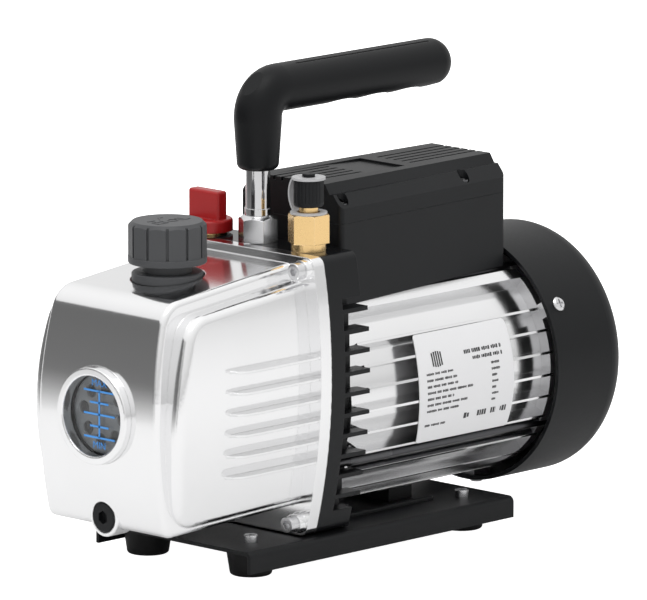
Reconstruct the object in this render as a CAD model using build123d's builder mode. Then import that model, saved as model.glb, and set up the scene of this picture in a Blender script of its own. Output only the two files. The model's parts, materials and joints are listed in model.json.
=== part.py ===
# Two-stage rotary vane vacuum pump, driven directly by a finned motor.
# X runs along the shaft from the oil casing (-X) to the fan cover (+X), Y across, Z up.
# The origin is the middle of the footprint, on the floor. Lengths are in millimetres.

import os
from math import cos, radians, sin, sqrt, tan

from build123d import *

os.makedirs("parts", exist_ok=True)

# ---- driving dimensions
shaft_z = 80.0                # height of the shaft above the floor
fit = 0.05                    # radial clearance of running and sliding fits
snug = 0.02                   # radial clearance of parts pressed or screwed together

plate_front, plate_rear = -106.5, 87.5
plate_half, plate_top, plate_sheet = 55.3, 16.2, 2.0

joint_x = -52.9               # joint between the oil casing and the pump bracket
flange_x = -60.7              # front face of the casing's flange
gasket_thickness = 0.4
flange_rear = joint_x - gasket_thickness
bracket_rear = -29.7          # joint between the bracket and the motor housing
housing_rear = 112.0          # joint between the motor housing and the rear end bell
port_x = -44.5                # handle, inlet and gas ballast stand in one row here
port_side = 36.0              # distance of the inlet and the gas ballast from the handle

outline_low, outline_high = 16.9, 160.6
bulge_y, bulge_z, bulge_radius = 60.9, 99.4, 300.0

filler_x, filler_lift_gap = -109.5, 0.4
glass_z, drain_z = 87.0, 34.0
box_front, box_rear, box_low, box_seam, box_top = -21.0, 107.0, 128.0, 170.4, 190.0
box_half_front, box_half_rear = 36.0, 30.6
cover_front, cover_rear, cover_radius, cover_wall = 109.5, 164.0, 66.0, 2.0
fin_root, fin_tip, tie_rod_circle = 52.0, 60.0, 56.0
tie_rod_angles = (62, 118, 211.3, 328.7)
cover_screw_angles = (30, 150, 270)
shaft_r = 7.0
standing = (Align.CENTER, Align.CENTER, Align.MIN)      # centred, and rising from its place


# ---- planes and profiles used by many pieces
def side_y(z, inset=0.0):
    # half-width of the bulging end-on outline at a height
    return bulge_y - bulge_radius + sqrt((bulge_radius - inset) ** 2 - (z - bulge_z) ** 2)


def across(x):
    # square to the shaft and centred on it, with Y and Z as its own axes
    return Plane(origin=(x, 0, shaft_z), x_dir=(0, 1, 0), z_dir=(1, 0, 0))


def end_on(x, y=0.0, z=0.0):
    # square to the shaft, centred on a given point
    return Plane(origin=(x, y, z), x_dir=(0, 1, 0), z_dir=(1, 0, 0))


def level(z, x=0.0, y=0.0):
    return Plane(origin=(x, y, z))


def radial(x, angle, radius):
    # square to a radius of the motor, facing outwards
    out = (0, cos(radians(angle)), sin(radians(angle)))
    return Plane(origin=(x, radius * out[1], shaft_z + radius * out[2]), x_dir=(1, 0, 0), z_dir=out)


def disc(plane, outer, inner=0.0):
    with BuildSketch(plane) as face:
        Circle(outer)
        if inner:
            Circle(inner, mode=Mode.SUBTRACT)
    return face.sketch


def hexagon(plane, across_flats, turn=0.0):
    with BuildSketch(plane) as face:
        RegularPolygon(radius=across_flats / 2, side_count=6, major_radius=False, rotation=turn)
    return face.sketch


def outline(x, low=outline_low, high=outline_high, inset=0.0, corner=5.0):
    # the shape shared by flange, gasket and bracket: level ends and bulging sides
    low_y, mid_y, high_y = (side_y(z, inset) for z in (low, bulge_z, high))
    with BuildSketch(end_on(x)) as face:
        with BuildLine():
            Line((-low_y, low), (low_y, low))
            ThreePointArc((low_y, low), (mid_y, bulge_z), (high_y, high))
            Line((high_y, high), (-high_y, high))
            ThreePointArc((-high_y, high), (-mid_y, bulge_z), (-low_y, low))
        make_face()
        fillet(face.vertices(), radius=corner)
    return face.sketch


def side_view(rear, top_rear, top_front, belly, low_front, low_rear, top_round, low_round):
    # the casing seen from its side: sloping top, bowed front, nearly level bottom
    with BuildSketch(Plane.XZ) as face:
        with BuildLine():
            Polyline(low_front, (rear, low_rear), (rear, top_rear), top_front)
            ThreePointArc(top_front, (belly, 81.0), low_front)
        make_face()
        for corner, radius in ((top_front, top_round), (low_front, low_round)):
            fillet(face.vertices().sort_by_distance((*corner, 0))[0], radius=radius)
    return face.sketch


def socket_screw(plane, head_r, head_h, shank_r, shank_l, key):
    # the plane lies under the head and faces out of the hole
    with BuildPart() as screw:
        extrude(disc(plane, head_r), amount=head_h)
        chamfer(screw.edges().sort_by(Axis(plane.origin, plane.z_dir))[-1], length=head_r * 0.1)
        extrude(disc(plane, shank_r), amount=-shank_l)
        extrude(hexagon(plane.offset(head_h), key), amount=-head_h * 0.6, mode=Mode.SUBTRACT)
    return screw.part


def domed_hex(plane, across_flats, height, bevel):
    # a hexagon whose top corners are turned off, as on a nut
    with BuildPart() as blank:
        extrude(disc(plane, across_flats * 0.575), amount=height)
        upper_rim = blank.edges().sort_by(Axis(plane.origin, plane.z_dir))[-1]
        chamfer(upper_rim, length=bevel, length2=bevel * 1.6)
        extrude(hexagon(plane, across_flats), amount=height, mode=Mode.INTERSECT)
    return blank.part


# ---- base plate, feet and their fasteners
foot_points = [(x, y) for x in (-87.4, 67.7) for y in (-36.9, 36.9)]
bracket_bolt_points = [(-41.0, -24.0), (-41.0, 24.0)]
motor_bolt_points = [(39.5, -13.0), (39.5, 13.0)]
plate_depth, plate_bend = 11.1, 3.2
foot_top = plate_top - plate_sheet
foot_bolt_r, base_bolt_r = 2.0, 3.0

with BuildSketch(end_on(plate_front)) as plate_section:
    with Locations((0, plate_top)):
        Rectangle(2 * plate_half, plate_depth, align=(Align.CENTER, Align.MAX))
    fillet(plate_section.vertices().group_by(Axis.Y)[-1], radius=plate_bend)
    with BuildSketch(mode=Mode.SUBTRACT) as plate_inside:
        with Locations((0, foot_top)):
            Rectangle(2 * (plate_half - plate_sheet), plate_depth, align=(Align.CENTER, Align.MAX))
        fillet(plate_inside.vertices().group_by(Axis.Y)[-1], radius=plate_bend - plate_sheet)

with BuildPart() as base_plate:
    extrude(plate_section.sketch, amount=plate_rear - plate_front)
    with BuildSketch(level(plate_top)):
        with Locations((14.0, 27.5), (14.0, -27.5)):
            SlotOverall(82, 6)
    extrude(amount=1.8)
    fillet(base_plate.edges().group_by(Axis.Z)[-1], radius=1.2)
    bolt_points = bracket_bolt_points + motor_bolt_points
    for points, radius in ((foot_points, foot_bolt_r), (bolt_points, base_bolt_r)):
        with BuildSketch(level(plate_top)):
            with Locations(*points):
                Circle(radius + 0.2)
        extrude(amount=-2 * plate_sheet, mode=Mode.SUBTRACT)

with BuildPart() as rubber_feet:
    with Locations(*[(x, y, 0) for x, y in foot_points]):
        Cone(10.6, 12.8, foot_top, align=standing)
        Cylinder(3.5, 3.0, align=standing, mode=Mode.SUBTRACT)
        Cylinder(foot_bolt_r + fit, foot_top, align=standing, mode=Mode.SUBTRACT)
    rims = rubber_feet.edges().filter_by(GeomType.CIRCLE).filter_by(lambda edge: edge.radius > 10)
    fillet(rims.group_by(Axis.Z)[0], radius=1.5)
    fillet(rims.group_by(Axis.Z)[-1], radius=0.6)

with BuildPart() as foot_screws:
    for x, y in foot_points:
        add(socket_screw(level(plate_top, x, y), 3.5, 4.0, foot_bolt_r, 11.0, 3.0))

with BuildPart() as base_bolts:
    for x, y in bracket_bolt_points:
        extrude(hexagon(level(foot_top, x, y), 10.0), amount=-4.0)
        extrude(disc(level(foot_top, x, y), base_bolt_r), amount=13.0)
    for x, y in motor_bolt_points:
        extrude(hexagon(level(foot_top, x, y), 10.0), amount=-4.0)
        extrude(disc(level(foot_top, x, y), base_bolt_r), amount=5.5)

with BuildPart() as motor_foot:
    with Locations((39.5, 0, plate_top)):
        Box(17.0, 40.0, 9.0, align=standing)
    extrude(disc(across(20.0), fin_tip + fit), amount=40.0, mode=Mode.SUBTRACT)
    for x, y in motor_bolt_points:
        extrude(disc(level(plate_top, x, y), base_bolt_r + snug), amount=5.0, mode=Mode.SUBTRACT)

# ---- oil casing
band_half, band_half_top, taper_low, wall = 42.4, 39.0, 98.0, 4.5
casing_bolts = [(side * y, z) for y, z in ((50.0, 154.5), (45.0, 23.5)) for side in (-1, 1)]
bolt_r, boss_front = 2.5, flange_x - 4.3
seat_z, neck_r = 148.6, 14.0
glass_front, glass_floor, glass_ring_r, glass_hole_r = -164.0, -152.8, 24.75, 19.0
drain_face, drain_floor, drain_head_r, drain_shank_r = -155.3, -151.9, 7.75, 5.0
gusset_heights = [56.0 + 10.85 * n for n in range(6)]
gusset_half = 0.65


def outer_edges(solid, beyond):
    # the edges that run round a side wall, apart from those at the joint face
    forward = solid.edges().filter_by(lambda edge: edge.center().X < flange_rear - 1)
    return forward.filter_by(lambda edge: abs(edge.center().Y) > beyond)


with BuildPart() as casing_band:
    band_side = side_view(flange_rear, 157.0, (-150.2, 146.8), -160.1, (-153.1, 28.0), 32.2, 15, 6)
    extrude(band_side, amount=band_half, both=True)
    with BuildSketch(end_on(-165.0)):
        Polygon((-band_half, 20), (band_half, 20), (band_half, taper_low), (band_half_top, 160),
                (-band_half_top, 160), (-band_half, taper_low), align=None)
    extrude(amount=120, mode=Mode.INTERSECT)
    fillet(outer_edges(casing_band, band_half_top - 0.5), radius=3.0)

with BuildPart() as casing_hollow:
    wide_room = side_view(joint_x, 143.7, (-138.0, 134.8), -149.3, (-143.0, 36.3), 39.5, 12, 10)
    extrude(wide_room, amount=60, both=True)
    extrude(outline(-165.0, 10, 170, inset=8 + wall), amount=120, mode=Mode.INTERSECT)
    band_room = side_view(joint_x, 152.0, (-146.5, 141.8), -155.6, (-148.8, 32.6), 36.9, 11, 4)
    extrude(band_room, amount=band_half_top - wall, both=True)

with BuildPart() as drain_boss:
    extrude(disc(end_on(drain_face, 0, drain_z), 10.0), amount=12.0)
    fillet(drain_boss.edges().group_by(Axis.X)[0], radius=0.8)

with BuildPart() as oil_casing:
    body_side = side_view(flange_rear, 148.4, (-142.5, 139.5), -153.8, (-147.5, 31.5), 35.2, 16, 14)
    extrude(body_side, amount=60, both=True)
    extrude(outline(-165.0, 10, 170, inset=8), amount=120, mode=Mode.INTERSECT)
    fillet(outer_edges(oil_casing, 44), radius=4.5)
    add(casing_band.part)
    extrude(outline(flange_x), amount=flange_rear - flange_x)
    for z in gusset_heights:
        for side in (-1, 1):
            with BuildSketch(level(z)):
                Polygon(*[(x, side * y) for x, y in (
                    (-119.0, 49.0), (flange_x, 49.0), (flange_x, side_y(z) - 1.0), (-104.0, side_y(z) - 0.6),
                    (-113.0, side_y(z) - 1.2), (-117.0, side_y(z) - 3.6))], align=None)
            extrude(amount=gusset_half, both=True)
    add(casing_hollow.part, mode=Mode.SUBTRACT)
    extrude(disc(end_on(-155.0, 0, glass_z), glass_ring_r + 3), amount=8.0)
    extrude(disc(level(seat_z, filler_x), 21.0), amount=-9.0)
    add(drain_boss.part)
    for y, z in casing_bolts:
        extrude(disc(end_on(boss_front, y, z), 5.2), amount=flange_x - boss_front)
        extrude(disc(end_on(boss_front, y, z), bolt_r + 0.2), amount=20, mode=Mode.SUBTRACT)
    extrude(disc(end_on(glass_floor, 0, glass_z), glass_ring_r + fit), amount=-15.0, mode=Mode.SUBTRACT)
    extrude(disc(end_on(glass_floor, 0, glass_z), glass_hole_r), amount=10.0, mode=Mode.SUBTRACT)
    extrude(disc(level(seat_z, filler_x), 19.0), amount=10.0, mode=Mode.SUBTRACT)
    extrude(disc(level(seat_z, filler_x), neck_r + snug), amount=-15.0, mode=Mode.SUBTRACT)
    extrude(disc(end_on(drain_floor, 0, drain_z), drain_head_r + 0.3), amount=-8.0, mode=Mode.SUBTRACT)
    extrude(disc(end_on(drain_floor, 0, drain_z), drain_shank_r + fit), amount=13.0, mode=Mode.SUBTRACT)

with BuildPart() as casing_gasket:
    extrude(outline(flange_rear), amount=gasket_thickness)
    extrude(outline(flange_rear, 37, 153, inset=13), amount=gasket_thickness, mode=Mode.SUBTRACT)
    for y, z in casing_bolts:
        extrude(disc(end_on(flange_rear, y, z), bolt_r + 0.3), amount=1, mode=Mode.SUBTRACT)

with BuildPart() as casing_screws:
    for y, z in casing_bolts:
        facing_out = Plane(origin=(boss_front, y, z), x_dir=(0, 1, 0), z_dir=(-1, 0, 0))
        add(socket_screw(facing_out, 4.35, 5.0, bolt_r, 20.0, 4.0))

# ---- sight glass
lens_front, lens_rear = -158.0, -155.0
with BuildPart() as sight_glass_ring:
    extrude(disc(end_on(glass_front, 0, glass_z), glass_ring_r, 20.5), amount=glass_floor - glass_front)
    fillet(sight_glass_ring.edges().group_by(Axis.X)[0], radius=0.8)
    extrude(disc(end_on(lens_front, 0, glass_z), 22.6), amount=20, mode=Mode.SUBTRACT)

with BuildPart() as sight_glass_lens:
    extrude(disc(end_on(lens_front, 0, glass_z), 22.5), amount=lens_rear - lens_front)

with BuildPart() as oil_baffle:
    extrude(disc(end_on(lens_rear + 1.0, 0, glass_z), 22.5), amount=glass_floor - lens_rear - 1.0)
    with Locations(end_on(lens_rear, 0, glass_z)):
        with PolarLocations(13.6, 8, start_angle=7):
            Hole(3.5, depth=5)

# ---- oil drain plug: one thread pitch per turn
with BuildPart() as drain_plug:
    head_front, head_rear = -156.0, -152.7
    extrude(disc(end_on(head_front, 0, drain_z), drain_head_r), amount=head_rear - head_front)
    chamfer(drain_plug.edges().group_by(Axis.X)[0], length=0.7)
    extrude(disc(end_on(head_rear, 0, drain_z), drain_shank_r), amount=11.0)
    extrude(hexagon(end_on(head_front, 0, drain_z), 6.0, 30), amount=3.0, mode=Mode.SUBTRACT)

with BuildPart() as drain_plug_seal:
    extrude(disc(end_on(head_rear + 0.05, 0, drain_z), drain_head_r - 0.2, drain_shank_r + 0.1), amount=0.7)

# ---- filler neck and cap, which also breathes out the exhaust
neck_collar_low, neck_collar_top, neck_top, neck_bore = seat_z + 0.6, 154.0, 170.0, 9.0
cap_low, cap_ceiling, cap_top, cap_r, cap_bore_r = 158.5, 171.0, 179.9, 20.0, 12.9
with BuildPart() as filler_neck:
    extrude(disc(level(138.0, filler_x), neck_r), amount=neck_collar_low - 138.0)
    extrude(disc(level(neck_collar_low, filler_x), 18.2), amount=neck_collar_top - neck_collar_low)
    fillet(filler_neck.edges().group_by(Axis.Z)[-1], radius=1.2)
    neck_tube = disc(level(neck_collar_top, filler_x), cap_bore_r - filler_lift_gap)
    extrude(neck_tube, amount=neck_top - neck_collar_top)
    extrude(disc(level(138.0, filler_x), neck_bore), amount=40.0, mode=Mode.SUBTRACT)

with BuildPart() as casing_seals:
    extrude(disc(level(seat_z, filler_x), 18.4, neck_r + 0.3), amount=neck_collar_low - seat_z)
    extrude(disc(end_on(lens_rear, 0, glass_z), 22.5, 20.6), amount=1.0)

with BuildPart() as filler_cap_seal:
    extrude(disc(level(neck_top + 0.05, filler_x), 12.4, 9.5), amount=cap_ceiling - neck_top - 0.15)

with BuildPart() as filler_cap:
    extrude(disc(level(cap_low, filler_x), cap_r), amount=cap_top - cap_low)
    chamfer(filler_cap.edges().group_by(Axis.Z)[-1], length=2.2)
    fillet(filler_cap.edges().group_by(Axis.Z)[0], radius=0.8)
    with BuildSketch(level(cap_low + 3.4, filler_x)):
        Circle(cap_r + 1)
        RegularPolygon(radius=cap_r - 0.6, side_count=12, major_radius=False, rotation=15,
                       mode=Mode.SUBTRACT)
    extrude(amount=30, mode=Mode.SUBTRACT)
    with Locations((filler_x, 0, cap_low + 3.8)):
        with PolarLocations(cap_r, 12, start_angle=15):
            Box(2.4, 1.5, 25.0, align=standing, mode=Mode.SUBTRACT)
    extrude(disc(level(cap_low, filler_x), cap_bore_r), amount=cap_ceiling - cap_low, mode=Mode.SUBTRACT)

# ---- pump bracket: carries the pump module, the motor, the handle and the ports
fin_heights = [35.3 + 10.68 * n for n in range(10)]
fin_half, fin_front, fin_end, slot_depth = 1.1, -43.5, -25.5, 10.0
slot_ends = [28.0] + fin_heights + [138.0]
module_screw_circle, module_screw_r = 31.5, 2.5
module_angles = (45, 135, 225, 315)

with BuildPart() as pump_bracket:
    extrude(outline(joint_x), amount=bracket_rear - joint_x)
    for lower, upper in zip(slot_ends[:-1], slot_ends[1:]):
        bottom = lower + (fin_half if lower in fin_heights else 0)
        top = upper - (fin_half if upper in fin_heights else 0)
        root = side_y((bottom + top) / 2) - slot_depth
        for side in (-1, 1):
            with Locations(((fin_front + bracket_rear) / 2, side * (root + 15), (bottom + top) / 2)):
                Box(bracket_rear - fin_front, 30, top - bottom, mode=Mode.SUBTRACT)
    for z in fin_heights:
        for side in (-1, 1):
            with Locations(((bracket_rear + fin_end) / 2, side * (side_y(z) - slot_depth / 2), z)):
                Box(fin_end - bracket_rear, slot_depth, 2 * fin_half)
    with Locations(((bracket_rear - 27.0) / 2, 0, outline_low)):
        Box(bracket_rear * -1 - 27.0, 94, 11, align=standing)
    with Locations(((joint_x + bracket_rear) / 2, 0, plate_top)):
        Box(bracket_rear - joint_x, 64, 5, align=standing)
    extrude(disc(across(bracket_rear), fin_root + 0.6), amount=30, mode=Mode.SUBTRACT)
    extrude(disc(across(fin_front), 40.0), amount=30, mode=Mode.SUBTRACT)
    extrude(disc(across(-50.0), 13.0), amount=30, mode=Mode.SUBTRACT)
    extrude(disc(across(joint_x), shaft_r + 0.5), amount=30, mode=Mode.SUBTRACT)
    for y, z in casing_bolts:
        extrude(disc(end_on(joint_x, y, z), bolt_r + snug), amount=9.0, mode=Mode.SUBTRACT)
    with Locations(across(joint_x)):
        with PolarLocations(module_screw_circle, 4, start_angle=45):
            Cylinder(module_screw_r + snug, 17.0, mode=Mode.SUBTRACT)
    for angle in tie_rod_angles:
        y, z = tie_rod_circle * cos(radians(angle)), shaft_z + tie_rod_circle * sin(radians(angle))
        extrude(disc(end_on(bracket_rear, y, z), bolt_r + snug), amount=-11.0, mode=Mode.SUBTRACT)
    for x, y in bracket_bolt_points:
        extrude(disc(level(plate_top, x, y), base_bolt_r + snug), amount=12.0, mode=Mode.SUBTRACT)
    extrude(disc(level(outline_high, port_x, 0), 5.0 + snug), amount=-13.0, mode=Mode.SUBTRACT)
    for side in (-1, 1):
        port = disc(level(outline_high, port_x, side * port_side), 6.5 + snug)
        extrude(port, amount=-13.0, mode=Mode.SUBTRACT)

with BuildPart() as shaft_seal:
    extrude(disc(across(-49.9), 13.0 - snug, shaft_r + fit), amount=6.2)

# ---- handle
grip_low, arm_z, grip_end, grip_r, rod_r, bend_r = 197.8, 238.2, 91.5, 12.3, 6.35, 13.5
grip_low_r, taper_top = 10.6, 223.0
nut_top = 174.5
with BuildLine() as rod_path:
    FilletPolyline((port_x, 0, outline_high), (port_x, 0, arm_z), (76.0, 0, arm_z), radius=bend_r)
with BuildLine() as grip_path:
    FilletPolyline((port_x, 0, taper_top), (port_x, 0, arm_z), (grip_end, 0, arm_z), radius=bend_r)
with BuildLine() as socket_path:
    FilletPolyline((port_x, 0, grip_low - 5), (port_x, 0, arm_z), (76.5, 0, arm_z), radius=bend_r)

with BuildPart() as handle_rod:
    sweep(disc(level(outline_high, port_x), rod_r), path=rod_path.wires()[0])
    extrude(disc(level(outline_high, port_x), 5.0), amount=-12.5)
    extrude(disc(level(nut_top + 0.1, port_x), rod_r + 0.55), amount=3.4)

with BuildPart() as handle_nut:
    add(domed_hex(level(outline_high, port_x), 18.0, nut_top - outline_high, 2.2))
    extrude(disc(level(outline_high, port_x), rod_r + snug), amount=30, mode=Mode.SUBTRACT)

scallop_r, scallop_pitch, scallop_top = 42.0, 24.3, arm_z - grip_r + 1.9
facet_depth = 1.1                   # flat for the thumb on the outside of the bend
with BuildPart() as handle_grip:
    sweep(disc(level(taper_top, port_x), grip_r), path=grip_path.wires()[0])
    fillet(handle_grip.edges().group_by(Axis.X)[-1], radius=10.5)
    with Locations((port_x, 0, grip_low)):
        Cone(grip_low_r, grip_r, taper_top - grip_low, align=standing)
    fillet(handle_grip.edges().filter_by(GeomType.CIRCLE).group_by(Axis.Z)[0], radius=3.5)
    knuckle = Plane(origin=(port_x + bend_r, 0, arm_z - bend_r), x_dir=(0, 1, 0), z_dir=(-1, 0, 1))
    with BuildSketch(knuckle.offset(bend_r + grip_r - facet_depth)):
        Rectangle(40, 40)
    extrude(amount=5, mode=Mode.SUBTRACT)
    for lean in (-18, 0, 18):
        out = (0, sin(radians(lean)), cos(radians(lean)))
        outwards = Plane(origin=(28, 0, arm_z), x_dir=(1, 0, 0), z_dir=out)
        with Locations(outwards.offset(grip_r)):
            Box(98, 0.8, 1.2, mode=Mode.SUBTRACT)
    with BuildSketch(Plane.XZ):
        with Locations(*[(12.0 + scallop_pitch * n, scallop_top - scallop_r) for n in range(4)]):
            Circle(scallop_r)
    extrude(amount=20, both=True, mode=Mode.SUBTRACT)
    sweep(disc(level(grip_low - 5, port_x), rod_r + snug), path=socket_path.wires()[0], mode=Mode.SUBTRACT)

# ---- inlet fitting, its cap and the tether
inlet_y, flare_r = -port_side, 5.556
hex_low, hex_top, flare_low, flare_shoulder, flare_top = 164.6, 179.4, 183.6, 192.6, 195.2
with BuildPart() as inlet_fitting:
    extrude(disc(level(outline_high, port_x, inlet_y), 6.5), amount=-12.5)
    extrude(disc(level(outline_high, port_x, inlet_y), 8.9), amount=hex_low - outline_high)
    add(domed_hex(level(hex_low, port_x, inlet_y), 18.8, hex_top - hex_low, 0.5))
    extrude(disc(level(hex_top, port_x, inlet_y), 4.9), amount=flare_low - hex_top)
    extrude(disc(level(flare_low, port_x, inlet_y), flare_r), amount=flare_shoulder - flare_low)
    with Locations((port_x, inlet_y, flare_shoulder)):
        Cone(flare_r, 3.4, flare_top - flare_shoulder, align=standing)
    extrude(disc(level(outline_high - 13, port_x, inlet_y), 2.7), amount=60, mode=Mode.SUBTRACT)

cap_skirt_low, cap_head, inlet_cap_r = 183.2, 197.0, 7.7
with BuildPart() as cap_tether:
    extrude(disc(level(hex_top + 0.1, port_x, inlet_y), 9.45, flare_r + 0.35), amount=1.0)
    extrude(disc(level(cap_head + 0.1, port_x, inlet_y), 8.6, 3.0), amount=1.2)
    with BuildLine(Plane.YZ.offset(port_x)) as strap_line:
        ThreePointArc((inlet_y + 9.0, hex_top + 0.6), (inlet_y + 12.2, 189.0),
                      (inlet_y + 8.8, cap_head + 0.7))
    strap_start = Plane(origin=strap_line.line @ 0, x_dir=(1, 0, 0), z_dir=strap_line.line % 0)
    with BuildSketch(strap_start):
        Rectangle(4.2, 1.0)
    sweep(path=strap_line.wires()[0])

with BuildPart() as inlet_cap:
    extrude(disc(level(cap_skirt_low, port_x, inlet_y), inlet_cap_r), amount=cap_head - cap_skirt_low)
    fillet(inlet_cap.edges().group_by(Axis.Z)[0], radius=1.4)
    fillet(inlet_cap.edges().group_by(Axis.Z)[-1], radius=0.6)
    with Locations((port_x, inlet_y, cap_skirt_low + 2.2)):
        with PolarLocations(inlet_cap_r + 0.25, 24):
            Cylinder(0.5, 20, align=standing, mode=Mode.SUBTRACT)
    extrude(disc(level(cap_head, port_x, inlet_y), 2.6), amount=1.6)
    extrude(disc(level(cap_head + 1.6, port_x, inlet_y), 3.3), amount=1.4)
    extrude(disc(level(cap_skirt_low, port_x, inlet_y), flare_r + 0.32), amount=12.6, mode=Mode.SUBTRACT)

# ---- gas ballast: the knob turns and its threaded stem rises with it
ballast_y = port_side
with BuildPart() as ballast_seat:
    extrude(disc(level(outline_high, port_x, ballast_y), 6.5, 3.0 + fit), amount=-12.0)
    extrude(disc(level(outline_high, port_x, ballast_y), 10.0, 3.0 + fit), amount=1.0)

with BuildPart() as ballast_stem:
    extrude(disc(level(149.5, port_x, ballast_y), 3.0), amount=16.0)

with BuildPart() as ballast_knob:
    extrude(disc(level(162.0, port_x, ballast_y), 12.9), amount=6.4)
    fillet(ballast_knob.edges().group_by(Axis.Z)[-1], radius=1.5)
    with Locations((port_x, ballast_y, 167.0)):
        Box(7.1, 21.5, 16.0, align=standing)
    wing_edges = ballast_knob.edges().filter_by(lambda edge: edge.center().Z > 169)
    fillet(wing_edges, radius=1.4)
    extrude(disc(level(162.0, port_x, ballast_y), 3.0 + fit), amount=6.0, mode=Mode.SUBTRACT)

# ---- pump module, bolted to the front of the bracket inside the casing
rotor_r, bore_r, module_r = 20.0, 24.0, 39.0
bore_z = shaft_z - (bore_r - rotor_r - fit)        # the rotor nearly touches the top of its bore
end_plate_x, stage_one_x, middle_x, stage_two_x, cover_x = -61.9, -91.9, -99.9, -115.9, -123.9
axial_gap = 0.05


def module_plate(x, rear, hole_r, hole_z=shaft_z):
    # a round plate or ring of the pump module with its bore and four screw holes
    with BuildPart() as plate:
        extrude(disc(across(x), module_r), amount=rear - x)
        extrude(disc(end_on(x, 0, hole_z), hole_r), amount=rear - x, mode=Mode.SUBTRACT)
        with Locations(across(x)):
            with PolarLocations(module_screw_circle, 4, start_angle=45):
                Cylinder(module_screw_r + 0.1, 80, mode=Mode.SUBTRACT)
    return plate.part


def slotted_rotor(x, rear):
    # a rotor with two opposed vane slots
    with BuildPart() as rotor:
        extrude(disc(across(x + axial_gap), rotor_r, shaft_r + snug), amount=rear - x - 2 * axial_gap)
        for side in (-1, 1):
            with Locations(((x + rear) / 2, 0, shaft_z + side * (8.5 + 10))):
                Box(80, 3.1, 20, mode=Mode.SUBTRACT)
    return rotor.part


with BuildPart() as module_plates:
    for x, rear in ((end_plate_x, joint_x), (middle_x, stage_one_x), (cover_x, stage_two_x)):
        add(module_plate(x, rear, shaft_r + fit))

stages = ((stage_one_x, end_plate_x), (stage_two_x, middle_x))
with BuildPart() as pump_stators:
    for x, rear in stages:
        add(module_plate(x, rear, bore_r, bore_z))
with BuildPart() as pump_rotors:
    for x, rear in stages:
        add(slotted_rotor(x, rear))
with BuildPart() as pump_shaft:
    extrude(disc(across(cover_x + 1.0), shaft_r), amount=-38.2 - cover_x - 1.0)

with BuildPart() as rotor_vanes:
    for x, rear in stages:
        with Locations(((x + rear) / 2, 0, shaft_z - 14.2), ((x + rear) / 2, 0, shaft_z + 14.2)):
            Box(rear - x - 4 * axial_gap, 3.0, 11.0)

with BuildPart() as module_screws:
    for angle in module_angles:
        y = module_screw_circle * cos(radians(angle))
        z = shaft_z + module_screw_circle * sin(radians(angle))
        facing_out = Plane(origin=(cover_x, y, z), x_dir=(0, 1, 0), z_dir=(-1, 0, 0))
        add(socket_screw(facing_out, 4.2, 5.0, module_screw_r, 79.0, 4.0))

valve_x, valve_z = (stage_two_x + middle_x) / 2, shaft_z + module_r
with BuildPart() as exhaust_valve:
    with Locations((valve_x, 0, valve_z + 1.0)):
        Box(12.0, 22.0, 2.0)
        Box(8.0, 30.0, 0.8)
    extrude(disc(across(stage_two_x), module_r), amount=16.0, mode=Mode.SUBTRACT)

# ---- coupling between pump and motor: two three-jawed hubs and a rubber spider
coupling_r, jaw_front, jaw_rear, jaw_gap = 16.0, -39.6, -34.0, 0.3


def jawed_hub(x, rear, jaw_x, turn):
    with BuildPart() as hub:
        extrude(disc(across(x), coupling_r, shaft_r + snug), amount=rear - x)
        with BuildSketch(across(jaw_x)):
            Circle(coupling_r)
            Circle(9.5, mode=Mode.SUBTRACT)
            reach = 30 * tan(radians(37))
            with PolarLocations(0, 3, start_angle=turn + 60):
                Polygon((0, 0), (30, -reach), (30, reach), align=None, mode=Mode.SUBTRACT)
        extrude(amount=jaw_rear - jaw_front - jaw_gap)
    return hub.part


with BuildPart() as coupling_hubs:
    add(jawed_hub(-43.2, jaw_front, jaw_front, 0))
    add(jawed_hub(jaw_rear, -30.0, jaw_front + jaw_gap, 60))
with BuildPart() as coupling_spider:
    extrude(disc(across(jaw_front + 0.1), 9.3, 7.3), amount=jaw_rear - jaw_front - 0.2)
    with Locations(across((jaw_front + jaw_rear) / 2)):
        with PolarLocations(11.8, 6, start_angle=30):
            Box(6.2, 1.3, jaw_rear - jaw_front - 0.2)

# ---- motor
tube_r = 45.0
fin_start = fin_end + 0.6           # the motor's fins begin behind those of the bracket
side_fins = [-80, -66, -51, -36.2, -24.5, -13.2, -2.2, 8.9, 20.1, 31.4, 78]
lands = [53.2]                      # thick ribs that carry the terminal box
with BuildPart() as motor_housing:
    extrude(disc(across(bracket_rear), fin_root, tube_r), amount=housing_rear - bracket_rear)
    for angles, thickness in ((side_fins, 1.4), (lands, 6.6)):
        with BuildSketch(across(fin_start)):
            for angle in angles:
                for turn in (angle, 180 - angle):
                    with PolarLocations((fin_root + fin_tip) / 2 - 0.5, 1, start_angle=turn):
                        Rectangle(fin_tip - fin_root + 1, thickness)
            Circle(fin_root - 0.5, mode=Mode.SUBTRACT)
        extrude(amount=housing_rear - fin_start)
    extrude(disc(across(bracket_rear), fin_tip), amount=housing_rear - bracket_rear, mode=Mode.INTERSECT)

core_front, core_rear, slot_count = 12.0, 72.0, 24
with BuildPart() as stator_core:
    with BuildSketch(across(core_front)):
        Circle(tube_r - fit)
        Circle(28.5, mode=Mode.SUBTRACT)
        with PolarLocations(33.0, slot_count):
            Rectangle(12.0, 3.2, mode=Mode.SUBTRACT)
    extrude(amount=core_rear - core_front)

with BuildPart() as stator_windings:
    extrude(disc(across(core_front), 42.0, 31.0), amount=-12.0)
    extrude(disc(across(core_rear), 42.0, 31.0), amount=12.0)
    coil_ends = stator_windings.edges().group_by(Axis.X)
    fillet(coil_ends[0] + coil_ends[-1], radius=3)
    with Locations(across((core_front + core_rear) / 2)):
        with PolarLocations(34.9, slot_count):
            Box(7.6, 3.0, core_rear - core_front)

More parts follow.
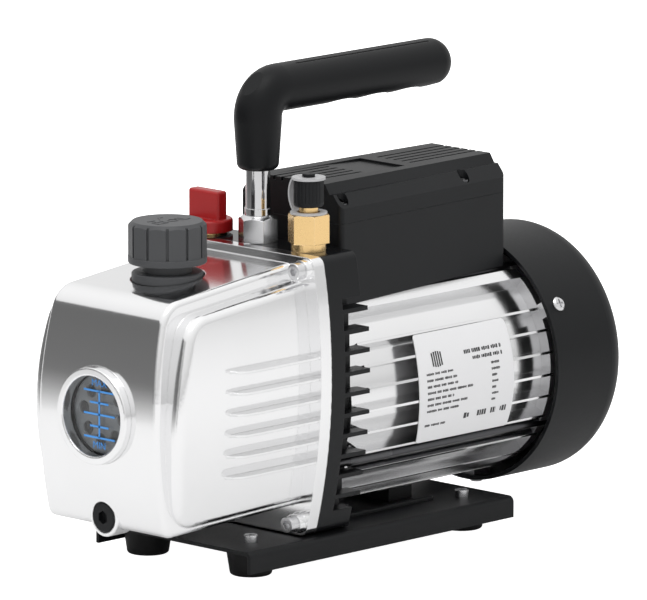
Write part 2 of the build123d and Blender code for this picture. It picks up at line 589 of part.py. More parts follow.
with BuildPart() as rotor_core:
    extrude(disc(across(core_front), 28.1, 10.0 + snug), amount=core_rear - core_front)
    for x, length in ((core_front, -5.0), (core_rear, 5.0)):
        extrude(disc(across(x), 27.0, 19.0), amount=length)

bearing_r, bearing_w, front_bearing, rear_bearing = 7.5, 11.0, -26.5, 101.0
with BuildPart() as motor_shaft:
    extrude(disc(across(-37.2), shaft_r), amount=20)
    extrude(disc(across(front_bearing), bearing_r), amount=rear_bearing + bearing_w - front_bearing)
    extrude(disc(across(front_bearing + bearing_w), 10.0), amount=rear_bearing - front_bearing - bearing_w)
    extrude(disc(across(rear_bearing), shaft_r), amount=43.0)

with BuildPart() as front_end_bell:
    extrude(disc(across(bracket_rear - 3.2), 40.0 - snug, 30.0), amount=3.2)
    extrude(disc(across(bracket_rear), tube_r - snug, 11.0), amount=4.5)
    extrude(disc(across(bracket_rear), 22.0, 11.0), amount=front_bearing + bearing_w - bracket_rear)
    extrude(disc(across(front_bearing), 17.5 + snug), amount=bearing_w + 1, mode=Mode.SUBTRACT)

with BuildPart() as rear_end_bell:
    extrude(disc(across(housing_rear), 58.0, 12.0), amount=6.0)
    extrude(disc(across(housing_rear - 5.0), tube_r - snug, 40.0), amount=5.0)
    extrude(disc(across(rear_bearing), 22.0), amount=housing_rear + 4.0 - rear_bearing)
    for angle in cover_screw_angles:
        lug = radial(118.0, angle, 50.0)
        with BuildSketch(lug):
            Rectangle(12, 8)
        extrude(amount=cover_radius - 50.0)
    extrude(disc(across(rear_bearing), cover_radius - cover_wall - fit), amount=30, mode=Mode.INTERSECT)
    extrude(disc(across(rear_bearing), 17.5 + snug), amount=bearing_w, mode=Mode.SUBTRACT)
    extrude(disc(across(rear_bearing), 12.0), amount=40, mode=Mode.SUBTRACT)
    for angle in cover_screw_angles:
        extrude(disc(radial(118.0, angle, 70.0), 2.0 + snug), amount=-16, mode=Mode.SUBTRACT)
    for angle in tie_rod_angles:
        y, z = tie_rod_circle * cos(radians(angle)), shaft_z + tie_rod_circle * sin(radians(angle))
        extrude(disc(end_on(housing_rear - 6, y, z), bolt_r + 0.2), amount=20, mode=Mode.SUBTRACT)

groove = (12.5, 3.1)                # ball circle and groove radius of both bearings
with BuildPart() as bearing_outer_rings:
    for x in (front_bearing, rear_bearing):
        extrude(disc(across(x), 17.5, 14.3), amount=bearing_w)
        with Locations(across(x + bearing_w / 2)):
            Torus(*groove, mode=Mode.SUBTRACT)

with BuildPart() as bearing_inner_rings:
    for x in (front_bearing, rear_bearing):
        extrude(disc(across(x), 10.7, bearing_r + snug), amount=bearing_w)
        with Locations(across(x + bearing_w / 2)):
            Torus(*groove, mode=Mode.SUBTRACT)

with BuildPart() as bearing_balls:
    for x in (front_bearing, rear_bearing):
        with Locations(across(x + bearing_w / 2)):
            with PolarLocations(groove[0], 8):
                Sphere(groove[1] - 0.1)

with BuildPart() as tie_rods:
    for angle in tie_rod_angles:
        y, z = tie_rod_circle * cos(radians(angle)), shaft_z + tie_rod_circle * sin(radians(angle))
        extrude(disc(end_on(-40.0, y, z), bolt_r), amount=163.0)
        add(domed_hex(end_on(housing_rear + 6.0, y, z), 8.0, 4.0, 0.6))

blade_count, fan_front, fan_r = 9, 125.0, 54.0
with BuildPart() as cooling_fan:
    extrude(disc(across(fan_front), 15.0), amount=18.0)
    extrude(disc(across(fan_front), fan_r), amount=2.0)
    with Locations(across(fan_front + 9.0)):
        with PolarLocations((13.0 + fan_r) / 2, blade_count):
            Box(fan_r - 13.0, 2.0, 16.0)
    extrude(disc(across(fan_front - 1), shaft_r + snug), amount=30, mode=Mode.SUBTRACT)

cover_round = 13.5
vent_rings = ((39.0, 44.0), (29.0, 34.0), (19.0, 24.0))
with BuildPart() as fan_cover:
    extrude(disc(across(cover_front), cover_radius), amount=cover_rear - cover_front)
    fillet(fan_cover.edges().group_by(Axis.X)[-1], radius=cover_round)
    offset(amount=-cover_wall, openings=fan_cover.faces().sort_by(Axis.X)[0])
    with BuildSketch(across(cover_rear)):
        for inner, outer in vent_rings:
            Circle(outer)
            Circle(inner, mode=Mode.SUBTRACT)
        with PolarLocations(0, 6):
            Rectangle(110, 5, mode=Mode.SUBTRACT)
    extrude(amount=-8.0, mode=Mode.SUBTRACT)
    for angle in cover_screw_angles:
        extrude(disc(radial(118.0, angle, 70.0), 2.2), amount=-12, mode=Mode.SUBTRACT)

with BuildPart() as fan_cover_screws:
    for angle in cover_screw_angles:
        seat = radial(118.0, angle, cover_radius)
        extrude(disc(seat, 3.8), amount=2.2)
        chamfer(fan_cover_screws.edges().sort_by(Axis(seat.origin, seat.z_dir))[-1], length=0.9)
        extrude(disc(seat, 2.0), amount=-10)
        with BuildSketch(seat.offset(2.2)):
            Rectangle(4.6, 1.0)
            Rectangle(1.0, 4.6)
        extrude(amount=-1.4, mode=Mode.SUBTRACT)

label_front, label_rear, label_low, label_high, label_bow = 14.5, 82.0, 54.5, 110.5, 3.0
with BuildPart() as rating_plate:
    with BuildSketch(Plane.XZ):
        with BuildLine():
            Polyline((label_front, label_low), (label_rear, label_low), (label_rear, label_high),
                     (label_front, label_high))
            middle = (label_front - label_bow, (label_low + label_high) / 2)
            ThreePointArc((label_front, label_high), middle, (label_front, label_low))
        make_face()
    extrude(amount=fin_tip + 5)
    fillet(rating_plate.edges().filter_by(Axis.Y), radius=2.0)
    extrude(disc(across(0), fin_tip + 0.5, fin_tip + fit), amount=100, mode=Mode.INTERSECT)

# ---- terminal box on top of the motor
box_wall = 2.5
lid_screw_points = [(-15.4, -31.2), (-15.4, 31.2), (77.5, -27.9), (77.5, 27.9)]
lid_seat, post_r, box_corner = 178.3, 3.4, 2.8
inlet_y_rear, switch_y_rear, face_z = -6.0, 17.5, 158.4


def plan(z, inset=0.0):
    # the box seen from above: it narrows towards the rear
    front, rear = box_front + inset, box_rear - inset
    half_front, half_rear = box_half_front - inset, box_half_rear - inset
    with BuildSketch(level(z)) as face:
        Polygon((front, -half_front), (rear, -half_rear), (rear, half_rear), (front, half_front),
                align=None)
        fillet(face.vertices(), radius=max(box_corner - inset, 0.5))
    return face.sketch


with BuildPart() as box_inside:
    extrude(plan(box_low - 3, box_wall), amount=60)
    extrude(disc(across(box_front - 1), fin_tip + box_wall + 0.2), amount=140, mode=Mode.SUBTRACT)

with BuildPart() as terminal_box:
    extrude(plan(box_low), amount=box_seam - box_low)
    add(box_inside.part, mode=Mode.SUBTRACT)
    for x, y in lid_screw_points:
        extrude(disc(level(box_seam, x, y), post_r), amount=-40)
    extrude(disc(across(box_front - 1), fin_tip + 0.1), amount=140, mode=Mode.SUBTRACT)
    for x, y in lid_screw_points:
        extrude(disc(level(box_seam, x, y), 1.5 + snug), amount=-14, mode=Mode.SUBTRACT)
    with Locations((box_rear, inlet_y_rear, face_z)):
        Box(10, 27.2, 20.0, mode=Mode.SUBTRACT)
    with Locations((box_rear, switch_y_rear, face_z)):
        Box(10, 12.8, 18.8, mode=Mode.SUBTRACT)


shelf_low, shelf_high, shelf_width, crown_share = 178.3, 184.9, 5.6, 0.68
shelf_bulge, crown_foot = 1.6, 181.0


def lid_section(x, half, low, drop):
    # an end of the lid: upright rim, sloping shelf and a level top under the crown
    with BuildSketch(end_on(x)) as face:
        Polygon((-half, low), (half, low), (half, shelf_low - drop),
                (half - shelf_width, shelf_high - drop), (shelf_width - half, shelf_high - drop),
                (-half, shelf_low - drop), align=None)
    return face.sketch


def crown(inset, drop):
    # the raised middle of the lid: bowed at its foot, straight-sided at its top
    front, rear = box_front + inset, box_rear - inset
    foot_front, foot_rear = (half - shelf_width - inset for half in (box_half_front, box_half_rear))
    middle = (foot_front + foot_rear) / 2 + shelf_bulge
    top_front, top_rear = (half * crown_share - inset for half in (box_half_front, box_half_rear))
    with BuildSketch(level(crown_foot - drop)) as foot:
        with BuildLine():
            Line((front, -foot_front), (front, foot_front))
            ThreePointArc((front, foot_front), ((front + rear) / 2, middle), (rear, foot_rear))
            Line((rear, foot_rear), (rear, -foot_rear))
            ThreePointArc((rear, -foot_rear), ((front + rear) / 2, -middle), (front, -foot_front))
        make_face()
    with BuildSketch(level(box_top - drop)) as top:
        Polygon((front, -top_front), (front, top_front), (rear - 1.5, top_rear), (rear - 1.5, -top_rear),
                align=None)
    with BuildPart() as solid:
        loft([foot.sketch.face(), top.sketch.face()], ruled=True)
    return solid.part


groove_pitch, groove_width, groove_depth = 5.7, 1.7, 2.0
panel_front, panel_rear, panel_half, panel_depth = 20.0, 46.7, 16.0, 1.3
with BuildPart() as terminal_box_lid:
    loft([lid_section(box_front, box_half_front, box_seam + 0.1, 0).face(),
          lid_section(box_rear, box_half_rear, box_seam + 0.1, 0).face()], ruled=True)
    fillet(terminal_box_lid.edges().filter_by(Axis.Z), radius=box_corner)
    add(crown(0, 0))
    loft([lid_section(box_front + box_wall, box_half_front - box_wall, box_seam, box_wall).face(),
          lid_section(box_rear - box_wall, box_half_rear - box_wall, box_seam, box_wall).face()],
         ruled=True, mode=Mode.SUBTRACT)
    add(crown(box_wall + 1.0, box_wall + 1.0), mode=Mode.SUBTRACT)
    for x, y in lid_screw_points:
        extrude(disc(level(box_seam + 0.1, x, y), post_r), amount=lid_seat - box_seam - 0.1)
        extrude(disc(level(lid_seat, x, y), 3.3), amount=14, mode=Mode.SUBTRACT)
        extrude(disc(level(box_seam, x, y), 1.7), amount=12, mode=Mode.SUBTRACT)
    with BuildSketch(Plane.XZ):
        Polygon((box_front - 1, box_top + 0.02), (panel_front, box_top - 0.3),
                (panel_rear, box_top - panel_depth), (panel_rear, box_top + 1),
                (box_front - 1, box_top + 1), align=None)
    extrude(amount=panel_half, both=True, mode=Mode.SUBTRACT)
    for n in range(-2, 3):
        with Locations((box_rear, groove_pitch * n, box_top)):
            Box(2 * (box_rear - 55.0), groove_width, 2 * groove_depth, mode=Mode.SUBTRACT)
        with Locations((box_front, groove_pitch * n, box_top)):
            Box(2 * (19.0 - box_front), groove_width, 2 * groove_depth, mode=Mode.SUBTRACT)

with BuildPart() as lid_screws:
    for x, y in lid_screw_points:
        add(socket_screw(level(lid_seat, x, y), 2.8, 2.0, 1.5, 18.0, 2.5))

with BuildPart() as run_capacitor:
    with BuildSketch(end_on(5.0, 0, 160.5)):
        Circle(16.0)
    extrude(amount=62.0)
    fillet(run_capacitor.edges(), radius=2.0)

# ---- power inlet and rocker switch on the rear of the box
with BuildPart() as power_inlet:
    with BuildSketch(end_on(box_rear, inlet_y_rear, face_z)):
        RectangleRounded(31.0, 22.6, 3.0)
    extrude(amount=2.2)
    with BuildSketch(end_on(box_rear, inlet_y_rear, face_z)):
        Rectangle(27.0, 19.8)
    extrude(amount=-18.0)
    with BuildSketch(end_on(box_rear + 2.2, inlet_y_rear, face_z)):
        with BuildLine():
            Polyline((-12, -8), (12, -8), (12, 4.0), (8.0, 8.0), (-8.0, 8.0), (-12, 4.0), close=True)
        make_face()
    extrude(amount=-17.0, mode=Mode.SUBTRACT)
    with Locations((box_rear - 16.0, inlet_y_rear, face_z)):
        with Locations((0, -7, -2), (0, 7, -2), (0, 0, 2)):
            Box(12, 2.04, 4.04, mode=Mode.SUBTRACT)

with BuildPart() as inlet_pins:
    with Locations((box_rear - 13.0, inlet_y_rear, face_z)):
        with Locations((0, -7, -2), (0, 7, -2), (0, 0, 2)):
            Box(22, 2.0, 4.0)

pivot_x, rest_tilt, pin_r = 104.6, 10.0, 1.0
with BuildPart() as switch_frame:
    with BuildSketch(end_on(box_rear, switch_y_rear, face_z)):
        RectangleRounded(15.0, 21.4, 1.5)
    extrude(amount=1.8)
    with BuildSketch(end_on(box_rear, switch_y_rear, face_z)):
        Rectangle(12.6, 18.6)
    extrude(amount=-9.0)
    with Locations((box_rear + 1.8, switch_y_rear, face_z)):
        Box(20.0, 9.8, 15.8, mode=Mode.SUBTRACT)
    with Locations((pivot_x, switch_y_rear, face_z)):
        Cylinder(pin_r, 10.4, rotation=(90, 0, 0))

with BuildPart() as rocker_button:
    tilted = (cos(radians(rest_tilt)), 0, sin(radians(rest_tilt)))
    with BuildSketch(Plane(origin=(pivot_x, switch_y_rear, face_z), x_dir=tilted, z_dir=(0, -1, 0))):
        with BuildLine():
            Polyline((-5.0, -2.0), (-1.5, -7.2), (2.0, -7.0))
            ThreePointArc((2.0, -7.0), (4.3, 0), (2.0, 7.0))
            Polyline((2.0, 7.0), (-1.5, 7.2), (-5.0, 2.0), (-5.0, -2.0))
        make_face()
    extrude(amount=4.5, both=True)
    with Locations((pivot_x, switch_y_rear, face_z)):
        Cylinder(pin_r + fit, 12, rotation=(90, 0, 0), mode=Mode.SUBTRACT)

# ---- every piece is written under its own name
pieces = {
    "base_plate": base_plate, "rubber_feet": rubber_feet, "foot_screws": foot_screws,
    "base_bolts": base_bolts, "motor_foot": motor_foot, "oil_casing": oil_casing,
    "casing_gasket": casing_gasket, "casing_screws": casing_screws, "casing_seals": casing_seals,
    "sight_glass_ring": sight_glass_ring, "sight_glass_lens": sight_glass_lens, "oil_baffle": oil_baffle,
    "drain_plug": drain_plug, "drain_plug_seal": drain_plug_seal, "filler_neck": filler_neck,
    "filler_cap_seal": filler_cap_seal, "filler_cap": filler_cap, "pump_bracket": pump_bracket,
    "shaft_seal": shaft_seal, "handle_rod": handle_rod, "handle_nut": handle_nut,
    "handle_grip": handle_grip, "inlet_fitting": inlet_fitting, "cap_tether": cap_tether,
    "inlet_cap": inlet_cap, "ballast_seat": ballast_seat, "ballast_stem": ballast_stem,
    "ballast_knob": ballast_knob, "module_plates": module_plates, "pump_stators": pump_stators,
    "pump_rotors": pump_rotors, "pump_shaft": pump_shaft, "rotor_vanes": rotor_vanes,
    "module_screws": module_screws, "exhaust_valve": exhaust_valve, "coupling_hubs": coupling_hubs,
    "coupling_spider": coupling_spider, "motor_housing": motor_housing, "stator_core": stator_core,
    "stator_windings": stator_windings, "rotor_core": rotor_core, "motor_shaft": motor_shaft,
    "front_end_bell": front_end_bell, "rear_end_bell": rear_end_bell,
    "bearing_outer_rings": bearing_outer_rings, "bearing_inner_rings": bearing_inner_rings,
    "bearing_balls": bearing_balls, "tie_rods": tie_rods, "cooling_fan": cooling_fan,
    "fan_cover": fan_cover, "fan_cover_screws": fan_cover_screws, "rating_plate": rating_plate,
    "terminal_box": terminal_box, "terminal_box_lid": terminal_box_lid, "lid_screws": lid_screws,
    "run_capacitor": run_capacitor, "power_inlet": power_inlet, "inlet_pins": inlet_pins,
    "switch_frame": switch_frame, "rocker_button": rocker_button,
}
for name, piece in pieces.items():
    piece.part.label = name
    export_step(piece.part, f"parts/{name}.step")
print(len(pieces), "pieces")
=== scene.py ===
import json
import random
from math import atan2, cos, radians, sin

import bmesh
import bpy
from mathutils import Matrix, Vector


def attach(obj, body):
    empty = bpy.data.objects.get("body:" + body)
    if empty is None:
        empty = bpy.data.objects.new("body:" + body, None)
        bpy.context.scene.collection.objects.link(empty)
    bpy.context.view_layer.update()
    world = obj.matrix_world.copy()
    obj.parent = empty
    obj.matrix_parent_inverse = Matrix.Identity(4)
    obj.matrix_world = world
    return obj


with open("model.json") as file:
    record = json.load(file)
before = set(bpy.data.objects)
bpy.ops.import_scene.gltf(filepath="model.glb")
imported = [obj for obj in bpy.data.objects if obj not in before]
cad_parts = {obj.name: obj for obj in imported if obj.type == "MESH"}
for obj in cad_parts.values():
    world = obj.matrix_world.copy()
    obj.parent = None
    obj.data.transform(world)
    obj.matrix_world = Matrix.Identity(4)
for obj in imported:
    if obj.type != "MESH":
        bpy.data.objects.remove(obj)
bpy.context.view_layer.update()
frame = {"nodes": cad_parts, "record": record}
nodes = frame["nodes"]
mm = 0.001
shaftZ = 80.0                      # height of the shaft in millimetres

# ---- camera and studio
cameraView = {
    "lens": 541.1,
    "azimuth": -45.82,            # 0 looks along +Y
    "elevation": 10.80,
    "distance": 4.9853,
    "target": (0.00328, 0.0, 0.12355),
}


def placeCamera(view):
    turn, tilt = radians(view["azimuth"]), radians(view["elevation"])
    away = Vector((sin(turn) * cos(tilt), -cos(turn) * cos(tilt), sin(tilt)))
    data = bpy.data.cameras.new("studioCamera")
    data.lens, data.sensor_width = view["lens"], 36.0
    data.clip_start, data.clip_end = 0.1, 100.0
    camera = bpy.data.objects.new("studioCamera", data)
    camera.location = Vector(view["target"]) + away * view["distance"]
    camera.rotation_euler = away.to_track_quat("Z", "Y").to_euler()
    bpy.context.scene.collection.objects.link(camera)
    bpy.context.scene.camera = camera


placeCamera(cameraView)
bpy.context.scene.view_settings.view_transform = "Standard"
print("camera placed")


# ---- shader sums and nodes
class Wire:
    # a socket that takes part in sums
    def __init__(self, tree, end):
        self.tree, self.end = tree, end

    def sum(self, operation, *terms):
        node = self.tree.nodes.new("ShaderNodeMath")
        node.operation = operation
        for place, term in zip(node.inputs, terms):
            connect(self.tree, place, term)
        return Wire(self.tree, node.outputs[0])

    def __add__(self, other):
        return self.sum("ADD", self, other)

    def __sub__(self, other):
        return self.sum("SUBTRACT", self, other)

    def __mul__(self, other):
        return self.sum("MULTIPLY", self, other)

    def __truediv__(self, other):
        return self.sum("DIVIDE", self, other)

    def __rsub__(self, other):
        return self.sum("SUBTRACT", other, self)

    def __rtruediv__(self, other):
        return self.sum("DIVIDE", other, self)

    def __gt__(self, other):
        return self.sum("GREATER_THAN", self, other)

    __radd__, __rmul__ = __add__, __mul__

    def least(self, other):
        return self.sum("MINIMUM", self, other)

    def most(self, other):
        return self.sum("MAXIMUM", self, other)

    def clamped(self):
        return self.most(0.0).least(1.0)


def connect(tree, place, value):
    if isinstance(value, Wire):
        tree.links.new(value.end, place)
    elif value is not None:
        place.default_value = value


class Finish:
    # one node tree being filled in
    def __init__(self, tree):
        self.tree = tree
        tree.nodes.clear()

    def node(self, kind, settings=None, output=0, **sockets):
        made = self.tree.nodes.new(kind)
        for name, value in (settings or {}).items():
            setattr(made, name, value)
        for name, value in sockets.items():              # by name, or by number as i0, i1
            numbered = name[0] == "i" and name[1:].isdigit()
            connect(self.tree, made.inputs[int(name[1:]) if numbered else name], value)
        return Wire(self.tree, made.outputs[output]) if made.outputs else made

    def ramp(self, factor, stops, output=0):
        made = self.tree.nodes.new("ShaderNodeValToRGB")
        while len(made.color_ramp.elements) < len(stops):
            made.color_ramp.elements.new(1.0)
        for element, (place, colour) in zip(made.color_ramp.elements, stops):
            element.position = place
            element.color = (*colour, 1.0) if hasattr(colour, "__len__") else (colour, colour, colour, 1.0)
        connect(self.tree, made.inputs[0], factor)
        return Wire(self.tree, made.outputs[output]) if made.outputs else made

    def objectPoint(self, turn=(0, 0, 0), stretch=(1, 1, 1), centre=(0, 0, 0)):
        point = self.node("ShaderNodeTexCoord", output=3)
        shift = [-c * s for c, s in zip(centre, stretch)]
        return self.node("ShaderNodeMapping", i0=point, i1=shift, i2=turn, i3=stretch)

    def axes(self, point):
        made = self.tree.nodes.new("ShaderNodeSeparateXYZ")
        connect(self.tree, made.inputs[0], point)
        return [Wire(self.tree, place) for place in made.outputs]

    def noise(self, point, scale, detail=3.0, roughness=0.55):
        return self.node("ShaderNodeTexNoise", i0=point, Scale=scale, Detail=detail, Roughness=roughness)

    def blend(self, factor, one, two, kind="MIX"):
        made = self.tree.nodes.new("ShaderNodeMix")
        made.data_type, made.blend_type = "RGBA", kind
        for place, value in ((0, factor), (6, one), (7, two)):
            if isinstance(value, tuple) and len(value) == 3:
                value = (*value, 1.0)
            connect(self.tree, made.inputs[place], value)
        return Wire(self.tree, made.outputs[2])

    def edges(self, reach):
        # near 1 along sharp edges, 0 on open faces
        soft = self.node("ShaderNodeBevel", {"samples": 4}, Radius=reach)
        flat = self.node("ShaderNodeNewGeometry", output=1)
        product = {"operation": "DOT_PRODUCT"}
        likeness = self.node("ShaderNodeVectorMath", product, output=1, i0=soft, i1=flat)
        return ((1.0 - likeness) * 6.0).clamped(), soft


print("shader helpers ready")


def paintWorld(settings):
    world = bpy.data.worlds.new("studioAir")
    bpy.context.scene.world = world
    world.use_nodes = True
    air = Finish(world.node_tree)
    height = air.axes(air.node("ShaderNodeTexCoord"))[2]
    sky = air.ramp(height * 0.5 + 0.5, settings["skyStops"])
    lit = air.node("ShaderNodeBackground", Color=sky, Strength=settings["strength"])
    air.node("ShaderNodeOutputWorld", Surface=lit)


studio = {
    "strength": 1.0,
    "skyStops": [(0.0, 0.7), (0.5, 0.6), (0.58, 0.78), (0.8, 0.95), (1.0, 1.15)],
    "floorShade": 0.80,
    "floorGrain": 0.04,
    "floorGlow": 0.07,             # as seen in reflections
    "floorGlowSeen": 0.95,         # added for the eye
}
paintWorld(studio)


def softbox(name, size, power, place, aim=(0.0, 0.0, 0.1)):
    data = bpy.data.lights.new(name, "AREA")
    data.shape, data.size, data.size_y, data.energy = "RECTANGLE", size[0], size[1], power
    lamp = bpy.data.objects.new(name, data)
    lamp.location = place
    lamp.rotation_euler = (Vector(place) - Vector(aim)).to_track_quat("Z", "Y").to_euler()
    bpy.context.scene.collection.objects.link(lamp)


softbox("topSoftbox", (1.2, 1.2), 9.0, (-0.5, -0.3, 2.0))


def layFloor():
    mesh = bpy.data.meshes.new("studioFloor")
    shape = bmesh.new()
    bmesh.ops.create_grid(shape, x_segments=1, y_segments=1, size=30.0)
    shape.to_mesh(mesh)
    shape.free()
    floor = bpy.data.objects.new("studioFloor", mesh)
    bpy.context.scene.collection.objects.link(floor)
    material = bpy.data.materials.new("floorPaper")
    material.use_nodes = True
    paper = Finish(material.node_tree)
    grain = paper.noise(paper.objectPoint(), 40.0)
    light, dark = (studio["floorShade"],) * 3, (studio["floorShade"] * 0.95,) * 3
    shade = paper.blend(grain * studio["floorGrain"], light, dark)
    eye = paper.node("ShaderNodeLightPath")
    matt = paper.node("ShaderNodeBsdfDiffuse", Color=shade)
    glow = paper.node("ShaderNodeEmission", Strength=eye * studio["floorGlowSeen"] + studio["floorGlow"])
    surface = paper.node("ShaderNodeAddShader", i0=matt, i1=glow)
    paper.node("ShaderNodeOutputMaterial", Surface=surface)
    mesh.materials.append(material)


layFloor()


def standCard(name, card):
    # an upright card that only shows in reflections, darker towards its top
    mesh = bpy.data.meshes.new(name)
    shape = bmesh.new()
    bmesh.ops.create_grid(shape, x_segments=1, y_segments=1, size=0.5)
    way = Vector((cos(radians(card["bearing"])), sin(radians(card["bearing"])), 0.0))
    across = Vector((-way.y, way.x, 0.0))
    for vert in shape.verts:
        side, rise = vert.co.x * card["width"], (vert.co.y + 0.5) * card["height"]
        vert.co = way * card["distance"] + across * side + Vector((0, 0, rise + card["foot"]))
    shape.to_mesh(mesh)
    shape.free()
    board = bpy.data.objects.new(name, mesh)
    bpy.context.scene.collection.objects.link(board)
    board.visible_camera = board.visible_diffuse = board.visible_shadow = False
    material = bpy.data.materials.new(name)
    material.use_nodes = True
    sheet = Finish(material.node_tree)
    rise = sheet.axes(sheet.objectPoint())[2]
    tone = sheet.ramp((rise - card["foot"]) / card["height"], card["tones"])
    glow = sheet.node("ShaderNodeEmission", Color=tone)
    sheet.node("ShaderNodeOutputMaterial", Surface=glow)
    mesh.materials.append(material)


cards = {
    "sideCard": {"bearing": 135.8, "distance": 0.62, "width": 0.90, "height": 0.385, "foot": 0.0,
                 "tones": [(0.0, 0.85), (0.12, 0.40), (0.22, 0.17), (0.6, 0.145), (1.0, 0.165)]},
    "frontCard": {"bearing": 184.0, "distance": 0.75, "width": 0.13, "height": 0.40, "foot": 0.0,
                  "tones": [(0.0, 0.5), (0.3, 0.25), (1.0, 0.25)]},
}
for name, card in cards.items():
    standCard(name, card)
print("studio ready")


# ---- finishes
def makeFinish(name, draw):
    material = bpy.data.materials.new(name)
    material.use_nodes = True
    finish = Finish(material.node_tree)
    surface = draw(finish)
    finish.node("ShaderNodeOutputMaterial", Surface=surface)
    return material


def metal(look):
    # polished, ground or brushed bare metal
    def draw(finish):
        point = finish.objectPoint(stretch=look.get("stretch", (1, 1, 1)))
        wide = finish.noise(finish.objectPoint(), look.get("wideScale", 30.0), 2.0)
        fine = finish.noise(point, look.get("fineScale", 600.0), 4.0)
        edge, soft = finish.edges(look.get("round", 0.0004))
        deep = tuple(c * look.get("deep", 0.94) for c in look["colour"])
        colour = finish.blend(wide, look["colour"], deep)
        colour = finish.blend(edge * 0.25, colour, (0.97, 0.97, 0.97))
        rough = look["rough"] + (fine - 0.5) * look.get("roughSpread", 0.05) + (wide - 0.5) * 0.03
        height = fine * look.get("fineHeight", 0.4) + wide * look.get("wideHeight", 0.6)
        bump = finish.node("ShaderNodeBump", Strength=look.get("bump", 0.03), Distance=0.0003,
                           Height=height, Normal=soft)
        return finish.node("ShaderNodeBsdfPrincipled", **{
            "Base Color": colour, "Metallic": 1.0, "Roughness": rough.clamped(), "Normal": bump})
    return draw


def moulded(look):
    # plastic, rubber or paint: fine grain, lighter worn edges
    def draw(finish):
        wide = finish.noise(finish.objectPoint(), look.get("wideScale", 25.0), 2.0)
        fine = finish.noise(finish.objectPoint(), look.get("fineScale", 1500.0), 2.0)
        height = finish.axes(finish.objectPoint())[2]
        edge, soft = finish.edges(look.get("round", 0.0005))
        deep = tuple(c * look.get("deep", 0.8) for c in look["colour"])
        colour = finish.blend(wide, look["colour"], deep)
        worn = look.get("worn", tuple(c * 1.6 + 0.01 for c in look["colour"]))
        colour = finish.blend(edge * look.get("wear", 0.35), colour, worn)
        rough = look["rough"] + (fine - 0.5) * look.get("roughSpread", 0.12) + (wide - 0.5) * 0.06
        if "groundAbove" in look:                       # a face ground flat and lacquered
            rough = rough - (height > look["groundAbove"]) * (look["rough"] - look["groundRough"])
        bump = finish.node("ShaderNodeBump", Strength=look.get("bump", 0.12), Distance=0.0002,
                           Height=fine, Normal=soft)
        return finish.node("ShaderNodeBsdfPrincipled", **{
            "Base Color": colour, "Roughness": rough.clamped(), "Normal": bump,
            "Specular IOR Level": look.get("gloss", 0.5)})
    return draw


def clearPane(look):
    def draw(finish):
        haze = finish.noise(finish.objectPoint(), 60.0)
        return finish.node("ShaderNodeBsdfPrincipled", **{
            "Base Color": (*look["colour"], 1.0), "Roughness": (haze - 0.5) * 0.02 + 0.02,
            "Transmission Weight": 1.0, "IOR": 1.46})
    return draw


